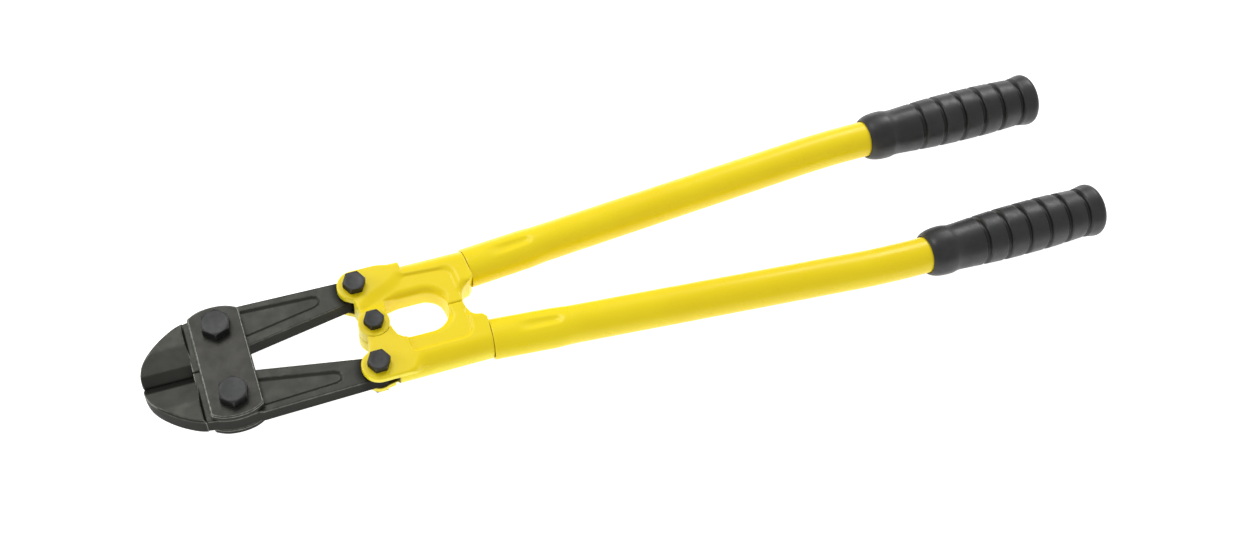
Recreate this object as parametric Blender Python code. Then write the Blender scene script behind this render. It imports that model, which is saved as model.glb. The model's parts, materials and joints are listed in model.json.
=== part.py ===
"""Bolt cutters with forged jaws, clevis levers, crimped tube handles and rubber grips.

The design is drawn in millimetres about the centre pivot: +X runs back along the tool's centre line
to the grips, +Y is the upper handle's side and z = 0 is the mid-plane. finish() moves every piece to
the part's own frame in metres, whose origin is at the middle of the underside.
"""

import math

import bmesh
import bpy
from mathutils import Matrix, Vector

MM = 0.001
UP = Vector((0, 0, 1))

# Overall lines
TIP_X = -134.5
GRIP_END_X = 474.5
HALF_HEIGHT = 17.4
GAP = 0.3

# Pivots
JAW_PIVOT = Vector((-87.1, 22.3, 0))
TOGGLE_PIVOT = Vector((-4.5, 27.2, 0))
CENTRE_PIVOT = Vector((0, 0, 0))

# Jaws
BLADE_HALF_THICKNESS = 7.0
JAW_HALF_THICKNESS = 5.75
BLADE_BACK_X = -105.3
EDGE_LAND = 0.4
EDGE_BEVEL_WIDTH = 5.5
EDGE_BEVEL_Z = 4.8
FACE_BEVEL_WIDTH = 19.0
TAIL_END_RADIUS = 7.2
POCKET_DEPTH = 1.2
OPEN_PIVOT_BORE = 9.0

# Side plates
PLATE_THICKNESS = 5.0
PLATE_LENGTH = 30.0
PLATE_CORNER_Y = 33.0
PLATE_APEX_Y = 36.4

# Levers
LEVER_HALF_THICKNESS = 11.0
TOP_EAR_RADIUS = 10.3
BOTTOM_EAR_RADIUS = 7.8
KNUCKLE_RADIUS = 9.3
FORK_HALF_GAP = 6.15
FORK_END_X = 5.0
BEAM_Y = 25.6
BEAM_RADIUS = 11.0
WEB_HALF_THICKNESS = 9.5
PANEL_FRONT_X = 16.5
PANEL_BACK_X = 54.0
PANEL_OUTER_Y = 24.6
WINDOW_HALF_WIDTH = 13.2
WINDOW_FRONT_X = 9.5
WINDOW_BACK_X = 45.0
STOP_BACK_X = 54.2
HANDLE_GAP_RADIUS = 13.0
STEP_X = 24.5

# Handle tubes
SEAM = Vector((63.9, 25.6, 0))
SPLAY = math.radians(4.77)
TUBE_RADIUS = 11.7
TUBE_WALL = 1.6
GRIP_Y = 47.1
BEND_RADIUS = 600.0
CRIMP_WIDTH = 12.6
CRIMP_HEIGHT = 11.0
CRIMP_END = 36.0
CRIMP_RUN_OUT = 14.0
TANG_RADIUS = 8.8
TANG_LENGTH = 48.0
TUBE_END_X = 466.0

# Grips
GRIP_MOUTH_X = 347.0
GRIP_BORE_END_X = 467.5

# Fasteners: widths across flats, thread radii, and heights from the mid-plane. Heads are above it,
# nuts and thread ends below.
WASHER_THICKNESS = 1.2
PLATE_INNER_Z = JAW_HALF_THICKNESS + 0.5
PLATE_OUTER_Z = PLATE_INNER_Z + PLATE_THICKNESS
BOLTS = {
    "jaw": {
        "flats": 15.4,
        "thread": 5.0,
        "seat": PLATE_OUTER_Z + GAP,
        "head_top": HALF_HEIGHT,
        "nut_top": PLATE_OUTER_Z + WASHER_THICKNESS + 2 * GAP,
        "end": HALF_HEIGHT,
        "turn": 20,
    },
    "toggle": {
        "flats": 12.0,
        "thread": 4.0,
        "seat": LEVER_HALF_THICKNESS + GAP,
        "head_top": 16.5,
        "nut_top": LEVER_HALF_THICKNESS + GAP,
        "end": 14.1,
        "turn": 0,
    },
    "centre": {
        "flats": 10.8,
        "thread": 3.5,
        "seat": LEVER_HALF_THICKNESS + GAP,
        "head_top": 15.7,
        "nut_top": LEVER_HALF_THICKNESS + GAP,
        "end": 14.1,
        "turn": 0,
    },
}

FRAME_SHIFT = Vector((-(TIP_X + GRIP_END_X) / 2, 0, HALF_HEIGHT))

COLOURS = {
    "forged_steel": ((0.085, 0.088, 0.075), 0.45, 0.75),
    "plate_steel": ((0.11, 0.115, 0.098), 0.4, 0.75),
    "bolt_steel": ((0.06, 0.058, 0.06), 0.38, 0.8),
    "yellow_enamel": ((0.86, 0.62, 0.02), 0.35, 0.0),
    "grip_rubber": ((0.04, 0.04, 0.042), 0.6, 0.0),
}


def material(name):
    """Returns the named Principled material, made the first time it is asked for."""
    if name in bpy.data.materials:
        return bpy.data.materials[name]
    colour, roughness, metallic = COLOURS[name]
    made = bpy.data.materials.new(name)
    made.use_nodes = True
    shader = made.node_tree.nodes["Principled BSDF"]
    shader.inputs["Base Color"].default_value = (*colour, 1)
    shader.inputs["Roughness"].default_value = roughness
    shader.inputs["Metallic"].default_value = metallic
    return made


def new_object(name, shape):
    """Turns a bmesh in drawing millimetres into an object with its faces pointing out."""
    bmesh.ops.recalc_face_normals(shape, faces=shape.faces)
    bmesh.ops.triangulate(shape, faces=[face for face in shape.faces if len(face.verts) > 4])
    mesh = bpy.data.meshes.new(name)
    shape.to_mesh(mesh)
    shape.free()
    piece = bpy.data.objects.new(name, mesh)
    bpy.context.scene.collection.objects.link(piece)
    return piece


def slab(name, outline, low, high, side=1):
    """A prism over a plan outline, between two heights. side -1 mirrors the outline in Y."""
    shape = bmesh.new()
    base = shape.faces.new([shape.verts.new((x, side * y, low)) for x, y in outline])
    raised = bmesh.ops.extrude_face_region(shape, geom=[base])["geom"]
    verts = [item for item in raised if isinstance(item, bmesh.types.BMVert)]
    bmesh.ops.translate(shape, verts=verts, vec=UP * (high - low))
    return new_object(name, shape)


def lengthwise(name, outline, start_x, end_x):
    """A prism along X over an outline given as (y, z)."""
    shape = bmesh.new()
    base = shape.faces.new([shape.verts.new((start_x, y, z)) for y, z in outline])
    raised = bmesh.ops.extrude_face_region(shape, geom=[base])["geom"]
    verts = [item for item in raised if isinstance(item, bmesh.types.BMVert)]
    bmesh.ops.translate(shape, verts=verts, vec=Vector((end_x - start_x, 0, 0)))
    return new_object(name, shape)


def disc(name, centre, radius, low, high, segments=32, turn=0):
    """An upright cylinder or, with few segments, a prism whose first corner is at angle turn."""
    return slab(name, arc(centre, radius, turn, turn + 360, segments)[:-1], low, high)


def arc(centre, radius, start, end, steps):
    """Points on a circle in plan from start to end, in degrees."""
    angles = [math.radians(start + (end - start) * step / steps) for step in range(steps + 1)]
    return [(centre[0] + radius * math.cos(a), centre[1] + radius * math.sin(a)) for a in angles]


def swept(name, stations, segments, side=1):
    """A skin through rings along a path.

    Each station gives the ring's centre, its direction in plan, and its half width and half height.
    The last ring joins the first, so a path that goes out and comes back inside makes a tube.
    """
    shape = bmesh.new()
    rings = []
    for centre, heading, width, height in stations:
        across = Vector((-math.sin(heading), math.cos(heading), 0))
        ring = []
        for step in range(segments):
            angle = 2 * math.pi * step / segments
            point = centre + across * width * math.cos(angle) + UP * height * math.sin(angle)
            ring.append(shape.verts.new((point.x, side * point.y, point.z)))
        rings.append(ring)
    for near, far in zip(rings, rings[1:] + rings[:1]):
        for step in range(segments):
            after = (step + 1) % segments
            shape.faces.new((near[step], near[after], far[after], far[step]))
    return new_object(name, shape)


def apply_boolean(piece, other, operation):
    """Adds a Boolean modifier, and hides the other shape as its helper."""
    modifier = piece.modifiers.new(other.name, "BOOLEAN")
    modifier.object = other
    modifier.operation = operation
    other.hide_render = True
    other.display_type = "WIRE"


def cut(piece, *cutters):
    for cutter in cutters:
        apply_boolean(piece, cutter, "DIFFERENCE")


def join(piece, *others):
    for other in others:
        apply_boolean(piece, other, "UNION")


def finish(piece, material_name, pivot=None):
    """Gives a piece its material, and puts its origin on its pivot."""
    piece.data.materials.append(material(material_name))
    piece.data.shade_smooth()
    piece.data.set_sharp_from_angle(angle=math.radians(35))
    set_origin(piece, pivot or CENTRE_PIVOT)
    return piece


def set_origin(piece, pivot):
    """Moves a shape drawn in millimetres into the part's frame in metres, with its origin at pivot."""
    piece.data.transform(Matrix.Scale(MM, 4) @ Matrix.Translation(-pivot))
    piece.location = (pivot + FRAME_SHIFT) * MM


def mirrored(point, side):
    return Vector((point.x, side * point.y, point.z))


def jaw_outline():
    """Plan of the hub and tail: heel on the centre line, crowned hub and a tail round its pivot."""
    tail_top = arc(TOGGLE_PIVOT, TAIL_END_RADIUS, 90, -79, 8)
    return [
        (BLADE_BACK_X - 0.7, GAP / 2),
        (JAW_PIVOT.x - 3, GAP / 2),
        (-75.0, 7.4),
        *reversed(tail_top),
        (-75.0, 35.6),
        *arc((JAW_PIVOT.x, 1.0), 35.0, 80, 110, 4),
        (BLADE_BACK_X - 0.7, 32.6),
    ]


def blade_outline():
    """Plan of the cutting half-disc, from its back edge round to the blunt tip."""
    return [
        (BLADE_BACK_X, GAP / 2),
        (BLADE_BACK_X, 33.0),
        (-110.0, 31.4),
        (-115.0, 28.7),
        (-120.0, 25.4),
        (-125.0, 21.2),
        (-129.5, 16.4),
        (-132.6, 11.4),
        (-134.2, 6.4),
        (TIP_X, 2.4),
        (TIP_X + 0.7, GAP / 2),
    ]


def bevel_cutters(name, side):
    """The two wedges that grind both faces of a blade down to its cutting edge."""
    for face in (1, -1):
        profile = [
            (-2 * side, face * EDGE_LAND),
            (side * GAP / 2, face * EDGE_LAND),
            (side * EDGE_BEVEL_WIDTH, face * EDGE_BEVEL_Z),
            (side * FACE_BEVEL_WIDTH, face * BLADE_HALF_THICKNESS),
            (side * FACE_BEVEL_WIDTH, face * (BLADE_HALF_THICKNESS + 2)),
            (-2 * side, face * (BLADE_HALF_THICKNESS + 2)),
        ]
        yield lengthwise(f"{name}_bevel_{face}", profile, TIP_X - 5, BLADE_BACK_X + 1)


def jaw(name, side, bore):
    """One forged jaw: blade, hub with its pivot bore, and a pocketed tail."""
    piece = slab(name, jaw_outline(), -JAW_HALF_THICKNESS, JAW_HALF_THICKNESS, side)
    blade = slab(f"{name}_blade", blade_outline(), -BLADE_HALF_THICKNESS, BLADE_HALF_THICKNESS, side)
    pocket = [(-74.0, 14.4), (-34.5, 21.5), (-33.0, 23.0), (-33.0, 27.8), (-34.5, 29.3), (-74.0, 30.9)]
    floor = JAW_HALF_THICKNESS - POCKET_DEPTH
    top = slab(f"{name}_top_pocket", pocket, floor, floor + 5, side)
    bottom = slab(f"{name}_bottom_pocket", pocket, -floor - 5, -floor, side)
    hub_bore = disc(f"{name}_hub_bore", mirrored(JAW_PIVOT, side), bore, -9, 9, 28)
    tail_bore = disc(f"{name}_tail_bore", mirrored(TOGGLE_PIVOT, side), bore_for("toggle"), -9, 9, 24)
    join(piece, blade)
    helpers = [*bevel_cutters(name, side), top, bottom, hub_bore, tail_bore]
    cut(piece, *helpers)
    for helper in [blade, *helpers]:
        set_origin(helper, CENTRE_PIVOT)
    return finish(piece, "forged_steel", mirrored(TOGGLE_PIVOT, side))


def bore_for(bolt):
    return BOLTS[bolt]["thread"] + GAP


def side_plate(name, face):
    """A strap over both jaw hubs, crowned at its ends. face 1 is the upper one, -1 the lower."""
    half = PLATE_LENGTH / 2
    rise = PLATE_APEX_Y - PLATE_CORNER_Y
    radius = (half * half + rise * rise) / (2 * rise)
    middle = Vector((JAW_PIVOT.x, PLATE_APEX_Y - radius, 0))
    spread = math.degrees(math.asin(half / radius))
    crown = arc(middle, radius, 90 - spread, 90 + spread, 10)
    outline = crown + [(x, -y) for x, y in reversed(crown)]
    low, high = sorted((face * PLATE_INNER_Z, face * PLATE_OUTER_Z))
    piece = slab(name, outline, low, high)
    for side in (1, -1):
        bore = disc(f"{name}_bore_{side}", mirrored(JAW_PIVOT, side), bore_for("jaw"), -15, 15, 24)
        cut(piece, bore)
        set_origin(bore, CENTRE_PIVOT)
    return finish(piece, "plate_steel", mirrored(JAW_PIVOT, -1))


def lever_outline(ear_radius, corner):
    """Plan of a lever without its centre knuckle, for the +Y side."""
    heel = Vector((WINDOW_BACK_X - WINDOW_HALF_WIDTH, 0, 0))
    gap_centre = Vector((STOP_BACK_X + HANDLE_GAP_RADIUS, 0, 0))
    lean = Vector((math.sin(SPLAY), -math.cos(SPLAY), 0))
    end_inner = SEAM + lean * BEAM_RADIUS
    return [
        (STEP_X, TOGGLE_PIVOT.y + ear_radius),
        *arc(TOGGLE_PIVOT, ear_radius, 90, 222, 10),
        (-7.2, 15.6),
        (-6.4, 13.0),
        (-6.2, 9.0),
        (-4.5, 5.0),
        (0.0, 1.0),
        (8.6, 2.5),
        (WINDOW_FRONT_X, WINDOW_HALF_WIDTH - corner),
        (WINDOW_FRONT_X + corner * 0.75, WINDOW_HALF_WIDTH),
        *arc(heel, WINDOW_HALF_WIDTH, 90, 2, 10),
        (WINDOW_BACK_X, GAP / 2),
        (STOP_BACK_X, GAP / 2),
        *arc(gap_centre, HANDLE_GAP_RADIUS, 179, 112, 6),
        (end_inner.x, end_inner.y),
        (SEAM.x - BEAM_RADIUS * math.sin(SPLAY), SEAM.y + BEAM_RADIUS * math.cos(SPLAY)),
        (STEP_X + 1.5, BEAM_Y + BEAM_RADIUS),
    ]


def beam_rounding(name, side, start_x, bottom, top):
    """The waste outside the half-round outer side of the lever's beam, between two heights."""
    far = BEAM_Y + BEAM_RADIUS + 4
    angles = [math.degrees(math.asin(z / BEAM_RADIUS)) for z in (max(bottom, -11), min(top, 11))]
    waste = arc((BEAM_Y, 0), BEAM_RADIUS, *angles, 12)
    waste += [(waste[-1][0], top), (far, top), (far, bottom), (waste[0][0], bottom)]
    corners = [(side * y, z) for y, z in dict.fromkeys(waste)]
    return lengthwise(name, corners, start_x, SEAM.x + 2)


def lever(name, side):
    """One cast lever: forked toggle ears, half-lap centre knuckle, panelled beam, stop and tang."""
    half = LEVER_HALF_THICKNESS
    corner = 1.5 if side > 0 else 6.0
    outline = lever_outline(TOP_EAR_RADIUS, corner)
    piece = slab(name, outline, -half, half, side)
    knuckle_low, knuckle_high = sorted((side * GAP / 2, side * half))
    knuckle = disc(f"{name}_knuckle", CENTRE_PIVOT, KNUCKLE_RADIUS, knuckle_low, knuckle_high, 32)
    room_low, room_high = sorted((side * GAP / 2, -side * (half + 1)))
    lap_room = disc(f"{name}_lap_room", CENTRE_PIVOT, KNUCKLE_RADIUS + 0.6, room_low, room_high, 32)
    panel = [
        (PANEL_FRONT_X, -1),
        (PANEL_FRONT_X, PANEL_OUTER_Y - 2),
        (PANEL_FRONT_X + 2, PANEL_OUTER_Y),
        *arc((PANEL_BACK_X - 6, PANEL_OUTER_Y - 6), 6, 90, 0, 5),
        (PANEL_BACK_X + 1.5, -1),
    ]
    panels = [
        slab(f"{name}_top_panel", panel, WEB_HALF_THICKNESS, half + 1, side),
        slab(f"{name}_bottom_panel", panel, -half - 1, -WEB_HALF_THICKNESS, side),
    ]
    fork = [(-25.0, 14.6), (-3.5, 18.6), (FORK_END_X, 20.5), (FORK_END_X, 45.0), (-25.0, 45.0)]
    fork_gap = slab(f"{name}_fork_gap", fork, -FORK_HALF_GAP, FORK_HALF_GAP, side)
    toggle = mirrored(TOGGLE_PIVOT, side)
    trim = [
        (FORK_END_X, 60.0),
        (FORK_END_X, BEAM_Y + BEAM_RADIUS - 1),
        *arc(TOGGLE_PIVOT, BOTTOM_EAR_RADIUS, 60, 200, 9),
        (-14.0, 21.0),
        (-25.0, 21.0),
        (-25.0, 60.0),
    ]
    ear_trim = slab(f"{name}_ear_trim", trim, -half - 1, 0, side)
    toggle_bore = disc(f"{name}_toggle_bore", toggle, bore_for("toggle"), -14, 14, 24)
    centre_bore = disc(f"{name}_centre_bore", CENTRE_PIVOT, bore_for("centre"), -14, 14, 24)
    along = Vector((math.cos(SPLAY), math.sin(SPLAY), 0))
    tang_rings = [
        (SEAM - along * 4, SPLAY, 0.01, 0.01),
        (SEAM - along * 4, SPLAY, TANG_RADIUS, TANG_RADIUS),
        (SEAM + along * (TANG_LENGTH - 1.5), SPLAY, TANG_RADIUS, TANG_RADIUS),
        (SEAM + along * TANG_LENGTH, SPLAY, TANG_RADIUS - 1.5, TANG_RADIUS - 1.5),
        (SEAM + along * TANG_LENGTH, SPLAY, 0.01, 0.01),
    ]
    tang = swept(f"{name}_tang", tang_rings, 24, side)
    rounding = [
        beam_rounding(f"{name}_upper_rounding", side, STEP_X + 0.2, FORK_HALF_GAP, 14),
        beam_rounding(f"{name}_lower_rounding", side, FORK_END_X - 1, -14, FORK_HALF_GAP),
    ]
    cut(piece, *rounding, lap_room, *panels, fork_gap, ear_trim)
    join(piece, knuckle, tang)
    cut(piece, toggle_bore, centre_bore)
    helpers = [*rounding, lap_room, *panels, fork_gap, ear_trim, knuckle, tang, toggle_bore, centre_bore]
    for helper in helpers:
        set_origin(helper, CENTRE_PIVOT)
    return finish(piece, "yellow_enamel", CENTRE_PIVOT)


def tube_path():
    """Stations down a handle tube: (distance from the seam, centre, direction in plan)."""
    along = Vector((math.cos(SPLAY), math.sin(SPLAY), 0))
    straight = (GRIP_Y - SEAM.y) / math.sin(SPLAY) - BEND_RADIUS * math.tan(SPLAY / 2)
    for distance in (GAP, CRIMP_END, CRIMP_END + CRIMP_RUN_OUT, straight):
        yield distance, SEAM + along * distance, SPLAY
    bend_centre = SEAM + along * straight + Vector((math.sin(SPLAY), -math.cos(SPLAY), 0)) * BEND_RADIUS
    for step in (1, 2, 3, 4):
        heading = SPLAY * (1 - step / 4)
        outward = Vector((-math.sin(heading), math.cos(heading), 0))
        yield straight + BEND_RADIUS * (SPLAY - heading), bend_centre + outward * BEND_RADIUS, heading
    yield 500, Vector((TUBE_END_X, GRIP_Y, 0)), 0.0


def handle_tube(name, side):
    """A steel tube, squeezed over the lever's tang and bent back parallel for the grip."""
    outer = []
    for distance, centre, heading in tube_path():
        crimped = distance <= CRIMP_END
        width = CRIMP_WIDTH if crimped else TUBE_RADIUS
        height = CRIMP_HEIGHT if crimped else TUBE_RADIUS
        outer.append((centre, heading, width, height))
    inner = [(c, h, w - TUBE_WALL, t - TUBE_WALL) for c, h, w, t in reversed(outer)]
    piece = swept(name, outer + inner, 28, side)
    return finish(piece, "yellow_enamel", CENTRE_PIVOT)


def grip_profile():
    """Outer radius of a grip against the distance from its mouth."""
    return [
        (0.0, 13.2),
        (4.0, 14.6),
        (12.0, 15.9),
        (16.0, 15.8),
        (20.0, 15.0),
        (27.0, 15.2),
        (38.0, 15.9),
        (54.0, 16.7),
        (72.0, 17.0),
        (90.0, 17.0),
        (104.0, 16.5),
        (113.0, 16.1),
        (119.0, 16.7),
        (123.0, HALF_HEIGHT),
        (125.5, 17.0),
        (127.5, 14.0),
    ]


def grip(name, side):
    """A closed-ended rubber sleeve over the end of a handle tube."""
    bore = TUBE_RADIUS + GAP
    rings = [(distance, radius) for distance, radius in grip_profile()]
    rings += [(rings[-1][0], 0.01), (GRIP_BORE_END_X - GRIP_MOUTH_X, 0.01)]
    rings += [(GRIP_BORE_END_X - GRIP_MOUTH_X, bore), (0.0, bore)]
    stations = [(Vector((GRIP_MOUTH_X + d, GRIP_Y, 0)), 0.0, r, r) for d, r in rings]
    piece = swept(name, stations, 32, side)
    return finish(piece, "grip_rubber", CENTRE_PIVOT)


def corner_radius(kind):
    return BOLTS[kind]["flats"] / 2 / math.cos(math.radians(30))


def bolt(name, kind, pivot):
    """A hexagon-head bolt from its head's top face to the end of its thread."""
    size = BOLTS[kind]
    head = disc(name, pivot, corner_radius(kind), size["seat"], size["head_top"], 6, size["turn"])
    shank = disc(f"{name}_shank", pivot, size["thread"], -size["end"], size["seat"] + 1, 20)
    join(head, shank)
    set_origin(shank, CENTRE_PIVOT)
    return finish(head, "bolt_steel", pivot)


def washer(name, kind, pivot):
    """A plain washer under the nut."""
    size = BOLTS[kind]
    top = -size["nut_top"] + GAP + WASHER_THICKNESS
    piece = disc(name, pivot, size["flats"] / 2 + 1.2, top - WASHER_THICKNESS, top, 28)
    return bored(piece, kind, pivot)


def nut(name, kind, pivot):
    """A thin hexagon nut, level with the end of the thread."""
    size = BOLTS[kind]
    piece = disc(name, pivot, corner_radius(kind), -size["end"], -size["nut_top"], 6, size["turn"])
    return bored(piece, kind, pivot)


def bored(piece, kind, pivot):
    """Cuts the thread's hole through a washer or nut, and finishes it."""
    hole = disc(f"{piece.name}_hole", pivot, bore_for(kind), -HALF_HEIGHT - 3, 0, 20)
    cut(piece, hole)
    set_origin(hole, CENTRE_PIVOT)
    return finish(piece, "bolt_steel", pivot)


def fastener(name, kind, pivot):
    bolt(f"{name}_bolt", kind, pivot)
    nut(f"{name}_nut", kind, pivot)


def main():
    for old in list(bpy.data.objects):
        bpy.data.objects.remove(old)
    jaw("upper_jaw", 1, OPEN_PIVOT_BORE)
    jaw("lower_jaw", -1, bore_for("jaw"))
    side_plate("front_side_plate", 1)
    side_plate("rear_side_plate", -1)
    for word, side in (("upper", 1), ("lower", -1)):
        fastener(f"{word}_jaw", "jaw", mirrored(JAW_PIVOT, side))
        washer(f"{word}_jaw_washer", "jaw", mirrored(JAW_PIVOT, side))
        fastener(f"{word}_toggle", "toggle", mirrored(TOGGLE_PIVOT, side))
        lever(f"{word}_lever", side)
        handle_tube(f"{word}_handle_tube", side)
        grip(f"{word}_grip", side)
    fastener("centre_pivot", "centre", CENTRE_PIVOT)


main()
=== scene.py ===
import json
import math

import bmesh
import bpy
import numpy as np
from mathutils import Matrix, Vector


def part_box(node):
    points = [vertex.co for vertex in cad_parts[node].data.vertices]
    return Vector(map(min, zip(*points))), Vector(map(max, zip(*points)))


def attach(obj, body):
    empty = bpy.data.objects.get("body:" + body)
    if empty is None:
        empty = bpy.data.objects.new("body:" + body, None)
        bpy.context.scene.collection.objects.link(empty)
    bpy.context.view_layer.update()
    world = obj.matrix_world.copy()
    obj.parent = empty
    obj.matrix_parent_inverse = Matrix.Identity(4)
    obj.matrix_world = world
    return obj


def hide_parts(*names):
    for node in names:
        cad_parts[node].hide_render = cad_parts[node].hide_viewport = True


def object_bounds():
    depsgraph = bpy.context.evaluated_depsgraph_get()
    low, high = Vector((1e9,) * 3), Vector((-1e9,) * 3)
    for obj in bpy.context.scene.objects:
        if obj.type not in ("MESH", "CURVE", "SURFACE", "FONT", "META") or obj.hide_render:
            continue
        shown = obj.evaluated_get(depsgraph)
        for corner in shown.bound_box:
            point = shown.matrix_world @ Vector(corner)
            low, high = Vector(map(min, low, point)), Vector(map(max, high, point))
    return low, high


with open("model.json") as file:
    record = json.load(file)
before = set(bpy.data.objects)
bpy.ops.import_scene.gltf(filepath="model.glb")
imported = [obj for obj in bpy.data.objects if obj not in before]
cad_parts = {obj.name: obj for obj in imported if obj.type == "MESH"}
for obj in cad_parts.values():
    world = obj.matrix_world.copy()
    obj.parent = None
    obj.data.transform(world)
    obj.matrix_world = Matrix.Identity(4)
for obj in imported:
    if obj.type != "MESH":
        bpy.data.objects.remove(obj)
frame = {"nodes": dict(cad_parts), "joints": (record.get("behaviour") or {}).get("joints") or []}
cadLow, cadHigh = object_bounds()
print("frame loaded:", len(frame["nodes"]), "nodes")

# Shapes are drawn in millimetres about the centre pivot, +X to the grips and +Y to the upper handle
mm = 0.001
joints = {joint["name"]: Vector(joint["pos_m"]) for joint in frame["joints"]}
centre = joints["handles_open"]
toggle = (joints["upper_jaw_turn"] - centre) / mm
jawPivot = (joints["side_plates_turn"] - centre) / mm
jawPivot.y = -jawPivot.y  # the joint is at the lower jaw's bolt
sides = {"upper": 1, "lower": -1}


def nodeBox(node):
    low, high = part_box(node)
    return (low - centre) / mm, (high - centre) / mm


def onSide(point, side):
    return Vector((point.x, side * point.y, point.z))


def addObject(name, data):
    thing = bpy.data.objects.new(name, data)
    bpy.context.scene.collection.objects.link(thing)
    return thing


def addNode(tree, kind, inputs=None, **settings):
    node = tree.nodes.new(kind)
    for key, value in settings.items():
        setattr(node, key, value)
    for key, value in (inputs or {}).items():
        socket = node.inputs[key]
        if isinstance(value, bpy.types.NodeSocket):
            tree.links.new(value, socket)
        elif value is not None:
            socket.default_value = value
    return node


def mathNode(tree, operation, *values):
    inputs = dict(enumerate(values))
    return addNode(tree, "ShaderNodeMath", inputs, operation=operation).outputs[0]


def vectorNode(tree, operation, *values):
    inputs = dict(enumerate(values))
    node = addNode(tree, "ShaderNodeVectorMath", inputs, operation=operation)
    return node.outputs["Value" if operation in ("LENGTH", "DOT_PRODUCT") else "Vector"]


def rangeNode(tree, value, low, high, toLow=0.0, toHigh=1.0):  # smooth step between two values
    inputs = {"Value": value, "From Min": low, "From Max": high, "To Min": toLow, "To Max": toHigh}
    node = addNode(tree, "ShaderNodeMapRange", inputs, interpolation_type="SMOOTHSTEP")
    return node.outputs[0]


def newMaterial(name):
    material = bpy.data.materials.new(name)
    material.use_nodes = True
    tree = material.node_tree
    return material, tree, tree.nodes["Principled BSDF"]


def noiseNode(tree, scale, detail=3.0):
    where = addNode(tree, "ShaderNodeTexCoord").outputs["Object"]
    inputs = {"Vector": where, "Scale": scale, "Detail": detail, "Roughness": 0.55}
    return addNode(tree, "ShaderNodeTexNoise", inputs).outputs["Fac"]


def mixColour(tree, factor, first, second):
    node = addNode(tree, "ShaderNodeMix", data_type="RGBA")
    for index, value in ((0, factor), (6, first), (7, second)):
        if isinstance(value, bpy.types.NodeSocket):
            tree.links.new(value, node.inputs[index])
        elif index:
            node.inputs[index].default_value = (*value, 1)
        else:
            node.inputs[index].default_value = value
    return node.outputs[2]


def markValue(tree, name):  # a value that is stored on the piece
    return addNode(tree, "ShaderNodeAttribute", attribute_name=name).outputs["Fac"]


def bumpNode(tree, height, distance, strength=1.0, under=None):
    inputs = {"Height": height, "Distance": distance, "Strength": strength, "Normal": under}
    return addNode(tree, "ShaderNodeBump", inputs).outputs[0]


# wear and wearEnd say how sharp an edge has to be to show worn metal
steelLooks = {
    "forgedSteel": {
        "dark": (0.041, 0.042, 0.0365), "light": (0.051, 0.052, 0.0455),
        "worn": (0.19, 0.195, 0.17), "wear": 0.62, "wearEnd": 0.9,
        "roughness": 0.42, "metallic": 0.85, "grain": 0.00004,
    },
    "plateSteel": {
        "dark": (0.041, 0.041, 0.0365), "light": (0.051, 0.05, 0.0455),
        "worn": (0.26, 0.265, 0.24), "wear": 0.6, "wearEnd": 0.84,
        "roughness": 0.44, "metallic": 0.8, "grain": 0.00003,
    },
    "boltSteel": {
        "dark": (0.041, 0.0415, 0.0415), "light": (0.056, 0.0565, 0.0565),
        "worn": (0.2, 0.2, 0.19), "wear": 0.58, "wearEnd": 0.95,
        "roughness": 0.42, "metallic": 0.75, "grain": 0.00004,
    },
}
# The first colour below darkens the marked places: painted shade, with grime near the toggles and
# in the lever forks
steelDetail = {
    # The second colour below is painted shade that darkens upright walls, mixed in at the share
    # after it
    "shadeAndGrime": (0.012, 0.012, 0.011), "side": (0.016, 0.0165, 0.014), "wallShadeShare": 0.6,
    "tint": (0.45, 0.45, 0.45, 1), "scaleSize": 130, "patchSize": 55, "rubSize": 420, "rub": 0.22,
    "pitSize": 900,
}


def steelMaterial(name):
    look, detail = steelLooks[name], steelDetail
    material, tree, shader = newMaterial(name)
    scale = noiseNode(tree, detail["scaleSize"], 5)
    patches = noiseNode(tree, detail["patchSize"], 4)
    mottled = mathNode(tree, "MULTIPLY_ADD", patches, 0.6, mathNode(tree, "MULTIPLY", scale, 0.4))
    tone = rangeNode(tree, mottled, 0.32, 0.68)
    colour = mixColour(tree, tone, look["dark"], look["light"])
    upright = mathNode(tree, "MULTIPLY", markValue(tree, "side"), detail["wallShadeShare"])
    colour = mixColour(tree, upright, colour, detail["side"])  # painted shade: upright walls are darker than the flat faces
    rubbing = noiseNode(tree, detail["rubSize"], 2)
    rubbed = mathNode(tree, "MULTIPLY_ADD", rubbing, detail["rub"], markValue(tree, "edge"))
    middle = detail["rub"] / 2
    wear = rangeNode(tree, rubbed, look["wear"] + middle, look["wearEnd"] + middle)
    colour = mixColour(tree, wear, colour, look["worn"])
    # painted shade, with grime near the toggles and in the lever forks, at the marked places
    colour = mixColour(tree, markValue(tree, "shadeAndGrime"), colour, detail["shadeAndGrime"])
    tree.links.new(colour, shader.inputs["Base Color"])
    smooth, rough = look["roughness"] - 0.03, look["roughness"] + 0.03
    roughness = rangeNode(tree, scale, 0.3, 0.7, rough, smooth)
    tree.links.new(roughness, shader.inputs["Roughness"])
    shader.inputs["Metallic"].default_value = look["metallic"]
    shader.inputs["Specular Tint"].default_value = detail["tint"]
    pits = bumpNode(tree, noiseNode(tree, detail["pitSize"], 4), look["grain"], 0.5)
    tree.links.new(bumpNode(tree, scale, look["grain"], 0.5, pits), shader.inputs["Normal"])
    return material


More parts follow.
